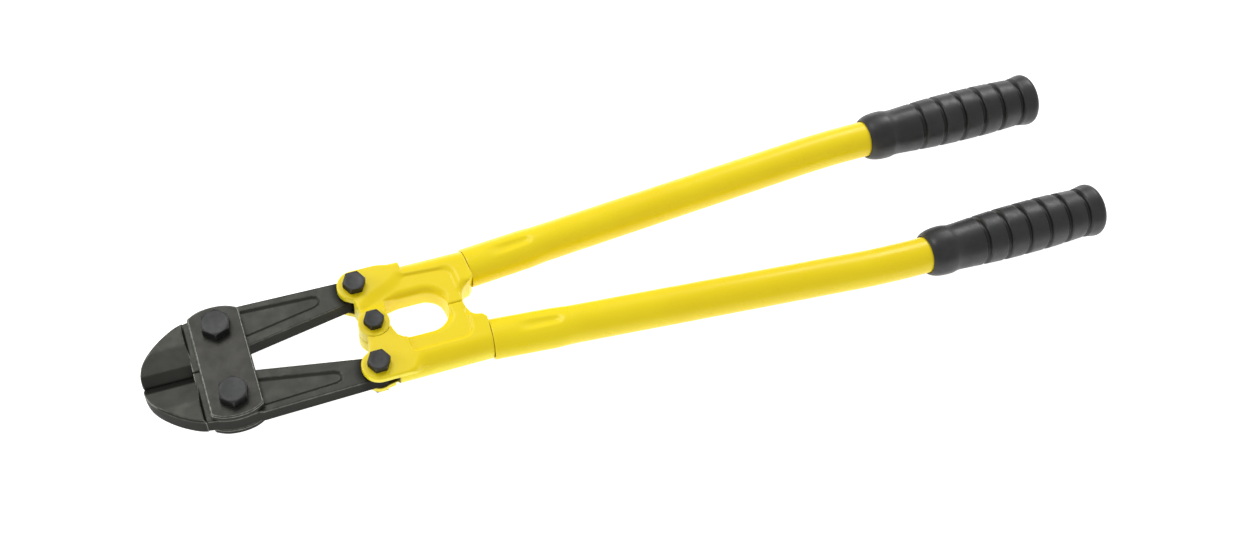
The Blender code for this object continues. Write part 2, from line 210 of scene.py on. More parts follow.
enamelLook = {
    # the third colour below is a painted highlight for outer edges; deep also serves as painted
    # shade in creases
    "colour": (0.88, 0.7, 0.008), "deep": (0.82, 0.6, 0.003), "thin": (0.9, 0.75, 0.05),
    # below: a painted light colour for upright walls, then painted shade with grime for the lever
    # forks
    "litWalls": (0.9, 0.8, 0.02), "shadeAndGrime": (0.035, 0.028, 0.012),
    # drift is random tone; the next two are the shares of painted shade in creases and painted
    # highlight on edges, the last the share of painted light on upright walls
    "drift": 0.45, "creaseShadeShare": 0.5, "rimHighlightShare": 0.5, "wallLightShare": 0.6,
    "smooth": 0.25, "rough": 0.38, "specular": 0.24, "coat": 0.08, "coatRoughness": 0.18,
    "peel": 0.00005, "peelSize": 520, "waves": 0.00025, "waveSize": 85,
}


def enamelMaterial():
    look = enamelLook
    material, tree, shader = newMaterial("yellowEnamel")
    drift = rangeNode(tree, noiseNode(tree, 16, 3), 0.35, 0.65)
    drift = mathNode(tree, "MULTIPLY", drift, look["drift"])
    colour = mixColour(tree, drift, look["colour"], look["deep"])
    edge = markValue(tree, "edge")
    creaseShadeShare = rangeNode(tree, edge, 0.42, 0.2, 0.0, look["creaseShadeShare"])  # painted shade in corners and creases
    colour = mixColour(tree, creaseShadeShare, colour, look["deep"])
    rimHighlightShare = rangeNode(tree, edge, 0.6, 0.85, 0.0, look["rimHighlightShare"])  # painted highlight on outer edges
    colour = mixColour(tree, rimHighlightShare, colour, look["thin"])
    # painted light: upright walls are lighter
    upright = mathNode(tree, "MULTIPLY", markValue(tree, "side"), look["wallLightShare"])
    colour = mixColour(tree, upright, colour, look["litWalls"])
    # painted shade, with grime, inside the lever forks
    colour = mixColour(tree, markValue(tree, "shadeAndGrime"), colour, look["shadeAndGrime"])
    tree.links.new(colour, shader.inputs["Base Color"])
    roughness = rangeNode(tree, noiseNode(tree, 60, 3), 0.3, 0.7, look["smooth"], look["rough"])
    tree.links.new(roughness, shader.inputs["Roughness"])
    shader.inputs["Specular IOR Level"].default_value = look["specular"]
    shader.inputs["Coat Weight"].default_value = look["coat"]
    shader.inputs["Coat Roughness"].default_value = look["coatRoughness"]
    peel = bumpNode(tree, noiseNode(tree, look["peelSize"], 2), look["peel"], 0.5)
    waves = bumpNode(tree, noiseNode(tree, look["waveSize"], 2), look["waves"], 0.5, peel)
    tree.links.new(waves, shader.inputs["Normal"])
    return material


rubberLook = {
    # the groove colour is painted shade for the grooves
    "dark": (0.01, 0.01, 0.0102), "light": (0.018, 0.018, 0.0184), "grooveShade": (0.001, 0.001, 0.001),
    "smooth": 0.36, "rough": 0.48, "grain": 0.00008, "grainSize": 1100,
}


def rubberMaterial():
    look = rubberLook
    material, tree, shader = newMaterial("gripRubber")
    bloom = rangeNode(tree, noiseNode(tree, 70, 5), 0.35, 0.68)
    colour = mixColour(tree, bloom, look["dark"], look["light"])
    # painted shade: the grooves are darker
    colour = mixColour(tree, markValue(tree, "grooveShade"), colour, look["grooveShade"])
    tree.links.new(colour, shader.inputs["Base Color"])
    roughness = rangeNode(tree, noiseNode(tree, 150, 3), 0.3, 0.7, look["smooth"], look["rough"])
    tree.links.new(roughness, shader.inputs["Roughness"])
    grain = bumpNode(tree, noiseNode(tree, look["grainSize"], 3), look["grain"], 0.55)
    tree.links.new(grain, shader.inputs["Normal"])
    return material


materials = {name: steelMaterial(name) for name in steelLooks}
materials["yellowEnamel"] = enamelMaterial()
materials["gripRubber"] = rubberMaterial()
print("materials made:", len(materials))


# A shape is a function of x, y and z that is negative inside it
def soften(first, second, radius):  # both, with a fillet between them
    near = np.maximum(radius - np.abs(first - second), 0)
    return np.minimum(first, second) - near * near / (4 * radius)


def within(first, second, radius):  # what they share, with a rounded edge
    return -soften(-first, -second, radius)


def without(first, second, radius):  # the first with the second cut out
    return -soften(-first, second, radius)


def outlineShape(points, x, y):
    nearest, inside = np.inf, False
    for (ax, ay), (bx, by) in zip(points, points[1:] + points[:1]):
        edgeX, edgeY = bx - ax, by - ay
        if abs(edgeX) + abs(edgeY) < 1e-9:
            continue
        along = ((x - ax) * edgeX + (y - ay) * edgeY) / (edgeX ** 2 + edgeY ** 2)
        along = np.clip(along, 0, 1)
        away = (x - ax - along * edgeX) ** 2 + (y - ay - along * edgeY) ** 2
        nearest = np.minimum(nearest, away)
        if edgeY:
            inside = inside ^ (((ay > y) != (by > y)) & (x < ax + (y - ay) * edgeX / edgeY))
    return np.where(inside, -1, 1) * np.sqrt(nearest)


def slabShape(plan, z, halfHeight, edge):
    out, up = plan + edge, np.abs(z) - halfHeight + edge
    rounded = np.hypot(np.maximum(out, 0), np.maximum(up, 0))
    return rounded + np.minimum(np.maximum(out, up), 0) - edge


def rodShape(middle, radius, x, y):
    return np.hypot(x - middle[0], y - middle[1]) - radius


def smoothStep(value, low, high):
    t = np.clip((value - low) / (high - low), 0, 1)
    return t * t * (3 - 2 * t)


def arc(middle, radius, start, end, steps):
    angles = np.radians(np.linspace(start, end, steps + 1))
    return [(middle[0] + radius * math.cos(a), middle[1] + radius * math.sin(a)) for a in angles]


def throughPoints(points, steps):  # a smooth line through points
    ends = [points[0]] + list(points) + [points[-1]]
    line = []
    for before, start, end, after in zip(ends, ends[1:], ends[2:], ends[3:]):
        for step in range(steps):
            t = step / steps
            line.append(tuple(
                0.5 * (2 * s + (e - b) * t + (2 * b - 5 * s + 4 * e - a) * t * t
                       + (3 * s - b - 3 * e + a) * t ** 3)
                for b, s, e, a in zip(before, start, end, after)
            ))
    return line + [tuple(points[-1])]


def skinOf(shape, low, high, step):  # vertices and quads on the shape's surface
    axes = [np.arange(low[i], high[i] + step, step) for i in range(3)]
    values = shape(*np.meshgrid(*axes, indexing="ij", sparse=True))
    inside = values < 0
    cells = tuple(n - 1 for n in values.shape)
    count = np.zeros(cells, np.int8)
    for corner in np.ndindex(2, 2, 2):
        count += inside[tuple(slice(c, c + n) for c, n in zip(corner, cells))]
    active = np.argwhere((count > 0) & (count < 8))
    index = np.full(cells, -1, np.int64)
    index[tuple(active.T)] = np.arange(len(active))
    points, hits = np.zeros((len(active), 3)), np.zeros(len(active))
    faces = []
    for axis in range(3):
        along = np.eye(3, dtype=int)[axis]
        sideways = np.roll(along, 1), np.roll(along, 2)
        for u, v in np.ndindex(2, 2):
            start = active + u * sideways[0] + v * sideways[1]
            first, second = values[tuple(start.T)], values[tuple((start + along).T)]
            crossed = (first < 0) != (second < 0)
            share = first[crossed] / (first[crossed] - second[crossed])
            points[crossed] += start[crossed] + share[:, None] * along
            hits[crossed] += 1
        ends = [slice(1, -1)] * 3
        ends[axis] = slice(0, -1)
        nextEnds = list(ends)
        nextEnds[axis] = slice(1, None)
        here = inside[tuple(ends)]
        edges = np.argwhere(here != inside[tuple(nextEnds)])
        starts = edges + 1 - along
        ring = [
            starts, starts - sideways[0], starts - sideways[0] - sideways[1], starts - sideways[1],
        ]
        quads = np.stack([index[tuple(corner.T)] for corner in ring], 1)
        leaving = here[tuple(edges.T)]
        quads[~leaving] = quads[~leaving][:, ::-1]
        faces.append(quads)
    points = points / hits[:, None] * step + np.array([axis[0] for axis in axes])
    return points, np.concatenate(faces)


def sideAt(shape, points):  # 1 on walls that stand upright, 0 on flat faces
    slope = np.stack([
        shape(*(points + shift).T) - shape(*(points - shift).T) for shift in np.eye(3) * 0.1
    ], 1)
    steep = 1 - np.abs(slope[:, 2]) / np.maximum(np.sqrt((slope ** 2).sum(1)), 1e-6)
    return smoothStep(steep, 0.35, 0.95)


def bendAt(shape, points, reach):  # how sharply the surface turns: above 0 on outer edges
    bend = -6 * shape(*points.T)
    for shift in np.concatenate([np.eye(3), -np.eye(3)]) * reach:
        bend += shape(*(points + shift).T)
    return bend / reach ** 2


def settle(shape, points, limit):  # draws points onto the surface
    at = shape(*points.T)
    reach = 0.1
    shifts = np.eye(3) * reach
    slope = np.stack([(shape(*(points + shift).T) - at) / reach for shift in shifts], 1)
    move = -at[:, None] * slope / np.maximum((slope ** 2).sum(1), 0.05)[:, None]
    return points + np.clip(move, -limit, limit)


def relax(points, faces, share):
    total, count = np.zeros_like(points), np.zeros(len(points))
    for corner in range(4):
        for other in (1, 3):
            near = points[faces[:, (corner + other) % 4]]
            for axis in range(3):
                total[:, axis] += np.bincount(faces[:, corner], near[:, axis], len(points))
            count += np.bincount(faces[:, corner], minlength=len(points))
    return points * (1 - share) + total / count[:, None] * share


def placed(name, points, faces):  # a mesh in the part's frame, from drawing millimetres
    mesh = bpy.data.meshes.new(name)
    faces = faces.tolist() if hasattr(faces, "tolist") else faces
    mesh.from_pydata((np.asarray(points) * mm + np.array(centre)).tolist(), [], faces)
    mesh.shade_smooth()
    return addObject(name, mesh)


def storeMark(piece, name, values):
    mark = piece.data.attributes.new(name, "FLOAT", "POINT")
    mark.data.foreach_set("value", values.astype(np.float32))


def sculpt(name, shape, low, high, step, side=1, shadeAndGrime=None):
    step *= 1
    points, faces = skinOf(shape, low, high, step)
    points = settle(shape, points, step)
    for _ in range(2):
        points = settle(shape, relax(points, faces, 0.5), step)
    points = settle(shape, points, step)
    # edge is above 0.5 on outer edges and below it in corners; the painted shade mark is 1 where
    # the painted shade (with grime near the toggles and in the lever forks) is darkest
    edge = 0.5 + np.clip(bendAt(shape, points, 0.6) * 0.25, -0.5, 0.5)
    upright = sideAt(shape, points)
    shadeAndGrimeValues = shadeAndGrime(*points.T) if shadeAndGrime else np.zeros(len(points))
    if side < 0:
        points[:, 1] *= -1
        faces = faces[:, ::-1]
    piece = placed(name, points, faces)
    for label, values in (("edge", edge), ("side", upright), ("shadeAndGrime", shadeAndGrimeValues)):
        storeMark(piece, label, values)
    print(name, "sculpted:", len(faces), "faces")
    return piece


def dress(piece, body, nodes, finish):
    piece.data.materials.clear()
    piece.data.materials.append(materials[finish])
    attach(piece, body)
    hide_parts(*nodes)


# Drawn for the upper jaw, in closed state: its cutting edge lies along y = gap
jawLook = {
    "step": 0.42, "thickness": 5.75, "bladeThickness": 7.0, "gap": 0.05,
    "edgeHeight": 0.4, "steepEnd": (5.5, 4.8), "slopeEnd": 19.0, "bladeBack": -105.3,
    "bladeTip": -133.8, "rimChamfer": 1.1, "rimEdge": 0.5, "faceEdge": 0.25, "bladeFillet": 0.6,
    "hubEdge": 0.9, "hubRadius": 35.0, "hubBack": -106.0, "hubBackTop": 32.6, "tailRadius": 7.2,
    "tailInside": [(4.0, 1.4), (-75.0, 7.4)], "tailOutside": [(-73.5, 35.7), (-76.5, 34.9)],
    "bores": {"upper": 9.0, "lower": 5.3}, "toggleBore": 4.3, "boreEdge": 0.4,
    "pocketDepth": 1.0, "pocketWall": (1.3, -0.9),
    "pocket": [
        (-74.0, 14.6), (-30.0, 22.6), (-27.6, 23.8), (-26.7, 26.0), (-27.5, 28.2), (-30.0, 29.2),
        (-74.0, 31.0),
    ],
    "bladeRim": [
        (-105.3, 33.0), (-110.0, 31.4), (-115.0, 28.7), (-120.0, 25.4), (-125.0, 21.2),
        (-129.5, 16.4), (-132.6, 11.4), (-134.2, 6.4), (-134.5, 2.4),
    ],
    # painted shade, with grime, around the toggle, and painted shade along the blades' mating line
    "toggleShadeAndGrime": (0.92, 10.5, 16.0), "edgeShade": (0.6, 0.4, 1.2),
    "low": (-136.5, -1.5, -8.5), "high": (4.5, 38.5, 8.5),
}


def jawShape(bore):
    look = jawLook
    thick, blade, gap = look["thickness"], look["bladeThickness"], look["gap"]
    (crookX, crookY), tailStart = look["tailInside"]
    hubPlan = [
        (look["hubBack"], gap), (jawPivot.x - 3, gap), (jawPivot.x + crookX, crookY), tailStart,
        *arc(toggle, look["tailRadius"], -79, 90, 30), *look["tailOutside"],
        *arc((jawPivot.x, 1.0), look["hubRadius"], 80, 110, 16),
        (look["hubBack"], look["hubBackTop"]),
    ]
    rim = throughPoints(look["bladeRim"], 8)
    bladePlan = [(look["bladeBack"], gap)] + rim + [(look["bladeTip"], gap)]
    steepY, steepZ = look["steepEnd"]
    edgeZ = look["edgeHeight"]

    def shape(x, y, z):
        high = np.abs(z)
        sunk = smoothStep(outlineShape(look["pocket"], x, y), *look["pocketWall"])
        halfHub = thick - look["pocketDepth"] * sunk
        hub = slabShape(outlineShape(hubPlan, x, y), z, halfHub, look["hubEdge"])
        plan = outlineShape(bladePlan, x, y)
        steep = Vector((steepY - gap, steepZ - edgeZ)).normalized()
        slope = Vector((look["slopeEnd"] - steepY, blade - steepZ)).normalized()
        edgeFace = (high - edgeZ) * steep.x - (y - gap) * steep.y
        cheekFace = (high - steepZ) * slope.x - (y - steepY) * slope.y
        rimFace = (plan + high - blade + look["rimChamfer"]) * math.sqrt(0.5)
        body = within(plan, high - blade, look["rimEdge"])
        for face in (rimFace, cheekFace, edgeFace):
            body = within(body, face, look["faceEdge"])
        body = soften(hub, body, look["bladeFillet"])
        body = without(body, rodShape(jawPivot, bore, x, y), look["boreEdge"])
        return without(body, rodShape(toggle, look["toggleBore"], x, y), look["boreEdge"])

    return shape


# painted shade: darker around the toggle (with grime) and along the mating line of the blades
def jawShadeAndGrime(x, y, z):
    most, start, end = jawLook["toggleShadeAndGrime"]
    atToggle = most * (1 - smoothStep(rodShape(toggle, 0, x, y), start, end))
    most, start, end = jawLook["edgeShade"]
    return np.maximum(atToggle, most * (1 - smoothStep(y, start, end)))


for word, side in sides.items():
    look = jawLook
    shape = jawShape(look["bores"][word])  # the upper hub floats on its bolt
    name = word + "JawForging"
    piece = sculpt(name, shape, look["low"], look["high"], look["step"], side, jawShadeAndGrime)
    dress(piece, word + "_jaw", [word + "_jaw"], "forgedSteel")


plateLook = {
    "step": 0.4, "chamfer": 0.8, "edge": 0.4, "chamferEdge": 0.25, "crownRadius": 33.5,
    "cornerRadius": 1.6, "cornerSlope": (0.55, 0.835), "cornerY": 33.0, "cornerInset": 0.55,
    "bore": 5.3, "boreEdge": 0.3, "room": 1.5,
}


def plateShape(low, high):
    look = plateLook
    half, apex = (high.x - low.x) / 2, high.y
    reach = look["crownRadius"]
    spread = math.degrees(math.asin(half / reach))
    crown = arc((jawPivot.x, apex - reach), reach, 90 - spread, 90 + spread, 24)
    plan = crown + [(x, -y) for x, y in reversed(crown)]
    middle, thick = (low.z + high.z) / 2, (high.z - low.z) / 2
    slopeX, slopeY = look["cornerSlope"]
    cornerAt = half * slopeX + look["cornerY"] * slopeY - look["cornerInset"]

    def shape(x, y, z):
        flat = outlineShape(plan, x, y)
        corners = [
            end * (x - jawPivot.x) * slopeX + np.abs(y) * slopeY - cornerAt for end in (1, -1)
        ]
        flat = within(flat, np.maximum(*corners), look["cornerRadius"])
        rise = np.abs(z - middle)
        body = within(flat, rise - thick, look["edge"])
        cut = (flat + rise - thick + look["chamfer"]) * math.sqrt(0.5)
        body = within(body, cut, look["chamferEdge"])
        for side in sides.values():
            hole = rodShape(onSide(jawPivot, side), look["bore"], x, y)
            body = without(body, hole, look["boreEdge"])
        return body

    return shape


for word in ("front", "rear"):
    low, high = nodeBox(word + "_side_plate")
    room = Vector((1, 1, 1)) * plateLook["room"]
    shape = plateShape(low, high)
    piece = sculpt(word + "PlateStrap", shape, low - room, high + room, plateLook["step"])
    dress(piece, "side_plates", [word + "_side_plate"], "plateSteel")


# Drawn for the upper lever. The levers differ in their pads, panels and the side of their half-lap.
leverLook = {
    "step": 0.45, "thickness": 11.0, "gap": 0.15, "edge": 1.1, "roundOver": 3.6,
    "topEar": 10.3, "bottomEar": 7.8, "forkHalfGap": 6.15, "forkEnd": 5.0, "padEnd": 24.5,
    "knuckle": 9.3, "knuckleGap": 0.35, "knuckleFillet": 1.0, "toggleBore": 4.3, "centreBore": 3.8,
    "beamY": 25.6, "beamRadius": 11.0, "window": (9.5, 45.0), "windowHalf": 13.2,
    "windowCorner": {"upper": 1.5, "lower": 6.0}, "stopBack": 54.2, "gapRadius": 13.0,
    "seam": (63.9, 25.6), "splay": 4.77, "tangRadius": 8.8, "tangLength": 48.0, "tangEdge": 1.5,
    "throat": [
        (-7.6, 17.6), (-7.0, 15.4), (-6.5, 12.8), (-6.2, 9.0), (-4.5, 5.0), (0.0, 1.0), (8.6, 2.5),
    ],
    "panelDrop": 1.5, "panelWall": (1.2, -1.1), "panelBack": (54.0, 24.6), "panelCorner": 6.0,
    "panelFront": {
        "upper": [(-3.0, 10.0), (1.0, 14.5), (6.0, 17.2), (13.0, 20.2), (19.0, 23.5), (22.5, 26.5)],
        "lower": [(16.5, -3.0), (16.5, 21.5), (17.4, 23.7), (19.5, 24.6)],
    },
    "panelFoot": {"upper": [(9.0, -3.0), (9.9, 9.0)], "lower": []},
    "padLean": {"upper": 2.4, "lower": 0.0},  # the upper pad falls away in a long slope
    "leanEnd": (20.0, 27.0), "rearLean": (45.0, 52.0), "rearShare": 0.5,
    "roundStart": (9.0, 20.0), "roundEnd": (57.0, 63.0), "roundInside": (1.0, 9.0),
    "beamEdge": 0.6, "padEdge": 0.9, "lapEdge": 0.2, "knuckleEdge": 0.5, "forkEdge": 0.5,
    "trimEdge": 0.8, "boreEdge": 0.5, "runOutStart": 6.0, "runOutDrop": 4.5,
    "fork": [(-25.0, 14.6), (-3.5, 18.6), (5.0, 20.5), (5.0, 45.0), (-25.0, 45.0)],
    "trimTop": [(5.0, 60.0), (5.0, 33.0)],
    "trimFront": [(-14.0, 21.0), (-25.0, 21.0), (-25.0, 60.0)],
    # the fork slot's walls are darkened: painted shade with grime
    "shadeAndGrimeShare": 0.9, "low": (-17.0, -11.0, -12.5), "high": (115.0, 41.0, 12.5),
}


def direction(degrees):
    angle = math.radians(degrees)
    return Vector((math.cos(angle), math.sin(angle))), Vector((-math.sin(angle), math.cos(angle)))


def leverPlan(word):
    look = leverLook
    gap, windowHalf, corner = look["gap"], look["windowHalf"], look["windowCorner"][word]
    front, back = look["window"]
    seam, (_, across) = Vector(look["seam"]), direction(look["splay"])
    return [
        (look["padEnd"], toggle.y + look["topEar"]), *arc(toggle, look["topEar"], 90, 222, 28),
        *look["throat"], (front, windowHalf - corner),
        (front + corner * 0.3, windowHalf - corner * 0.3), (front + corner * 0.8, windowHalf),
        *arc((back - windowHalf, 0), windowHalf, 90, 2, 28),
        (back, gap), (look["stopBack"], gap),
        *arc((look["stopBack"] + look["gapRadius"], 0), look["gapRadius"], 179, 112, 20),
        tuple(seam - across * look["beamRadius"]), tuple(seam + across * look["beamRadius"]),
        (look["padEnd"] + 1.5, look["beamY"] + look["beamRadius"]),
    ]


def leverShape(word):
    look, side = leverLook, sides[word]
    half, gap, fork = look["thickness"], look["gap"], look["fork"]
    forkEnd, halfGap, lean = look["forkEnd"], look["forkHalfGap"], look["padLean"][word]
    seam, (along, across) = Vector(look["seam"]), direction(look["splay"])
    plan = leverPlan(word)
    panelX, panelY = look["panelBack"]
    turn = look["panelCorner"]
    panelPlan = [
        *look["panelFront"][word], *arc((panelX - turn, panelY - turn), turn, 90, 0, 12),
        (panelX + 1.5, -3.0), *look["panelFoot"][word],
    ]
    ear = arc(toggle, look["bottomEar"], 60, 200, 24)
    trim = [*look["trimTop"], *ear, *look["trimFront"]]

    def shape(x, y, z):
        flat = outlineShape(plan, x, y)
        rear = 1 - look["rearShare"] * smoothStep(x, *look["rearLean"])
        soft = 1 + lean * (1 - smoothStep(x, *look["leanEnd"]) * rear)
        inPanel = smoothStep(outlineShape(panelPlan, x, y) / soft, *look["panelWall"])
        height = half - look["panelDrop"] * inPanel
        onBeam = smoothStep(x, *look["roundStart"]) * (1 - smoothStep(x, *look["roundEnd"]))
        onBeam = onBeam * smoothStep(y, *look["roundInside"])
        body = slabShape(flat, z, height, look["edge"] + look["roundOver"] * onBeam)
        beam = np.hypot(np.maximum(y - look["beamY"], 0), z) - look["beamRadius"]
        pad = np.maximum(np.maximum(x - look["padEnd"] - 0.2, halfGap - z), -40 - y)
        under = np.maximum(x - forkEnd + 1, z - halfGap)
        outer = within(body, beam, look["beamEdge"])
        if side < 0:  # the lower pad runs out into the beam, the upper one ends in a step
            runOut = smoothStep(x, look["runOutStart"], look["padEnd"])
            pad = np.maximum(pad, beam * runOut - look["runOutDrop"] * (1 - runOut))
        body = np.minimum(outer, within(body, np.minimum(pad, under), look["padEdge"]))
        # the other lever's knuckle lies in this room
        lap = side * z
        room = np.maximum(rodShape((0, 0), look["knuckle"] + look["knuckleGap"], x, y), lap - gap)
        body = without(body, room, look["lapEdge"])
        disc = rodShape((0, 0), look["knuckle"], x, y)
        halfLap = (half - gap) / 2
        knuckle = slabShape(disc, lap - (half + gap) / 2, halfLap, look["knuckleEdge"])
        body = soften(body, knuckle, look["knuckleFillet"])
        body = without(body, room, look["lapEdge"])
        slot = np.maximum(outlineShape(fork, x, y), np.abs(z) - halfGap)
        body = without(body, slot, look["forkEdge"])
        body = without(body, np.maximum(outlineShape(trim, x, y), z), look["trimEdge"])
        u = (x - seam.x) * along.x + (y - seam.y) * along.y
        v = (x - seam.x) * across.x + (y - seam.y) * across.y
        halfTang = look["tangLength"] / 2
        ends = np.abs(u - halfTang + 2) - halfTang - 2
        tang = within(np.hypot(v, z) - look["tangRadius"], ends, look["tangEdge"])
        body = np.minimum(body, tang)
        body = without(body, rodShape(toggle, look["toggleBore"], x, y), look["boreEdge"])
        return without(body, rodShape((0, 0), look["centreBore"], x, y), look["boreEdge"])

    # painted shade, with grime, on the walls inside the fork slot
    def shadeAndGrime(x, y, z):
        inFork = 1 - smoothStep(outlineShape(fork, x, y), 0.3, 1.2)
        onWalls = 1 - smoothStep(np.abs(z), halfGap + 0.1, halfGap + 0.7)
        return look["shadeAndGrimeShare"] * inFork * onWalls

    return shape, shadeAndGrime


for word, side in sides.items():
    look = leverLook
    shape, shadeAndGrime = leverShape(word)
    name = word + "LeverCasting"
    piece = sculpt(name, shape, look["low"], look["high"], look["step"], side, shadeAndGrime)
    dress(piece, word + "_handle", [word + "_lever"], "yellowEnamel")


# Geometry Nodes shape the tubes, the grips' grooves and the fasteners' hexagons
def newTree(name, inputs):
    tree = bpy.data.node_groups.new(name, "GeometryNodeTree")
    tree.interface.new_socket("Geometry", in_out="INPUT", socket_type="NodeSocketGeometry")
    for label, kind in inputs.items():
        tree.interface.new_socket(label, in_out="INPUT", socket_type="NodeSocket" + kind)
    tree.interface.new_socket("Geometry", in_out="OUTPUT", socket_type="NodeSocketGeometry")
    return tree, tree.nodes.new("NodeGroupInput").outputs


def closeTree(tree, geometry, material):
    real = addNode(tree, "GeometryNodeRealizeInstances", {"Geometry": geometry})
    inputs = {"Geometry": real.outputs[0], "Material": material}
    painted = addNode(tree, "GeometryNodeSetMaterial", inputs)
    output = tree.nodes.new("NodeGroupOutput")
    tree.links.new(painted.outputs[0], output.inputs[0])


def madeFrom(tree, name, values, host):  # runs a tree on a host and keeps its result as a mesh
    modifier = host.modifiers.new("build", "NODES")
    modifier.node_group = tree
    items = tree.interface.items_tree
    sockets = {item.name: item.identifier for item in items if item.in_out == "INPUT"}
    for label, value in values.items():
        modifier[sockets[label]] = value
    bpy.context.view_layer.update()
    graph = bpy.context.evaluated_depsgraph_get()
    mesh = bpy.data.meshes.new_from_object(
        host.evaluated_get(graph), preserve_all_data_layers=True, depsgraph=graph
    )
    mesh.name = name
    host.modifiers.remove(modifier)
    bpy.data.objects.remove(host)
    return addObject(name, mesh)


def positionNode(tree):
    return tree.nodes.new("GeometryNodeInputPosition").outputs[0]


def combine(tree, x, y, z):
    return addNode(tree, "ShaderNodeCombineXYZ", {0: x, 1: y, 2: z}).outputs[0]


def separate(tree, vector):
    return list(addNode(tree, "ShaderNodeSeparateXYZ", {0: vector}).outputs)[:3]


def scaledNode(tree, vector, size):
    inputs = {0: vector, "Scale": size}
    return addNode(tree, "ShaderNodeVectorMath", inputs, operation="SCALE").outputs[0]


# A round tube along its path, pressed flat and dimpled over the lever's tang
tubeLook = {
    "radius": 11.7, "wall": 1.6, "mouthBevel": 0.35, "gap": 0.3, "segments": 96, "spacing": 0.9,
    "gripY": 47.1, "bendRadius": 600.0, "endX": 466.0,
    "crimpWidth": 12.6, "crimpHeight": 11.0, "crimpEnd": 36.0, "runOut": 16.0,
    "dimpleStart": 12.0, "dimpleLength": 32.0, "dimpleWidth": 4.8, "dimpleDepth": 1.7,
    "dimpleRise": 0.5, "dimpleFall": 0.84, "dimpleShallower": 0.35, "dimpleNarrower": 0.3,
}


def tubePath():
    look = tubeLook
    splay = math.radians(leverLook["splay"])
    seam = Vector((*leverLook["seam"], 0))
    along = Vector((math.cos(splay), math.sin(splay), 0))
    across = Vector((math.sin(splay), -math.cos(splay), 0))
    bend = look["bendRadius"]
    straight = (look["gripY"] - seam.y) / math.sin(splay) - bend * math.tan(splay / 2)
    points = [seam + along * run for run in np.linspace(look["gap"], straight, 60)]
    bendCentre = seam + along * straight + across * bend
    for heading in np.linspace(splay, 0, 13)[1:]:
        outward = Vector((-math.sin(heading), math.cos(heading), 0))
        points.append(bendCentre + outward * bend)
    return points + [Vector((look["endX"], look["gripY"], 0))]


def pathCurve(name, points):
    data = bpy.data.curves.new(name, "CURVE")
    data.dimensions = "3D"
    line = data.splines.new("POLY")
    line.points.add(len(points) - 1)
    for spot, point in zip(line.points, points):
        spot.co = (*(point * mm + centre), 1)
    return addObject(name, data)


